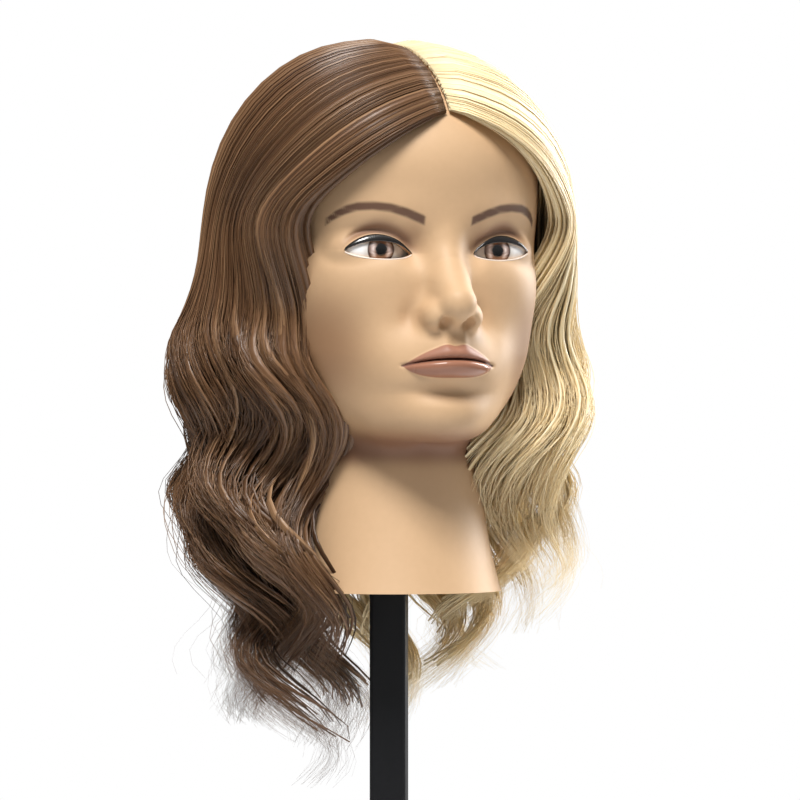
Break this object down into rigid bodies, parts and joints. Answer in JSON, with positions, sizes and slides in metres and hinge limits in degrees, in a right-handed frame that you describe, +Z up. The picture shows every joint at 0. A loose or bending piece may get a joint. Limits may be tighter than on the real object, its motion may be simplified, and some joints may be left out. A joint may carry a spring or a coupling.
{
  "type": "hairdressing training head",
  "caption": "Life-size mannequin training head with parted two-tone long hair and a made-up face, swivelling on a square post with a screw clamp for a table edge.",
  "frame": {"origin": "on the clamp's seat pad, where it rests on the table top, under the post's axis", "axes": "+Z up along the post, +Y into the table, -Y away from it, towards which the head mostly looks"},
  "size_m": [0.2375, 0.2208, 0.6102],
  "materials": {
    "black_steel": "satin black powder coat",
    "zinc": "zinc plated",
    "rubber": "matt",
    "black_plastic": "moulded nylon",
    "white_plastic": "acetal",
    "vinyl": "soft skin-coloured vinyl, painted lips and lids",
    "foam": "rigid expanded foam",
    "eye_acrylic": "clear-coated eye with brown iris",
    "lash": "glossy black",
    "brown_hair": "brown hair fibre, soft sheen",
    "blonde_hair": "blonde hair fibre, soft sheen"
  },
  "bodies": {
    "stand": {"clamp_frame": "black_steel", "seat_pad": "rubber", "screw_nut": "zinc", "post_foot": "black_steel", "foot_screw_1": "zinc", "foot_screw_2": "zinc", "foot_screw_3": "zinc", "foot_screw_4": "zinc", "post_tube": "black_steel", "peg": "black_plastic", "lower_o_ring": "rubber", "upper_o_ring": "rubber", "thrust_washer": "white_plastic"},
    "head": {"head_shell": "vinyl", "foam_core": "foam", "neck_plate": "black_plastic", "peg_socket": "white_plastic", "socket_screw_1": "zinc", "socket_screw_2": "zinc", "socket_screw_3": "zinc", "eye_left": "eye_acrylic", "eye_right": "eye_acrylic", "lash_left": "lash", "lash_right": "lash", "brown_hair_cap": "brown_hair", "brown_hair_side": "brown_hair", "brown_hair_back": "brown_hair", "blonde_hair_cap": "blonde_hair", "blonde_hair_side": "blonde_hair", "blonde_hair_back": "blonde_hair"},
    "pressure_pad": {"pressure_disc": "zinc", "pressure_rubber": "rubber"},
    "spindle": {"spindle": "zinc"},
    "bar": {"tommy_bar": "zinc", "bar_knob_left": "black_plastic", "bar_knob_right": "black_plastic"}
  },
  "joints": [
    {"name": "head_swivel", "type": "hinge", "parent": "stand", "child": "head", "pos_m": [0, 0, 0.1722], "axis": [0, 0, 1], "continuous": true},
    {"name": "pad_travel", "type": "slide", "parent": "stand", "child": "pressure_pad", "axis": [0, 0, 1], "range_m": [-0.02951, 0.03151]},
    {"name": "screw_turn", "type": "hinge", "parent": "pressure_pad", "child": "spindle", "pos_m": [0, 0.016, -0.05], "axis": [0, 0, 1], "range_deg": [-3540, 3780]},
    {"name": "bar_slide", "type": "slide", "parent": "spindle", "child": "bar", "axis": [1, 0, 0], "range_m": [-0.0303, 0.0303]}
  ],
  "couplings": [
    {"joint": "pad_travel", "follows": "screw_turn", "m_per_rad": 0.00047746}
  ]
}
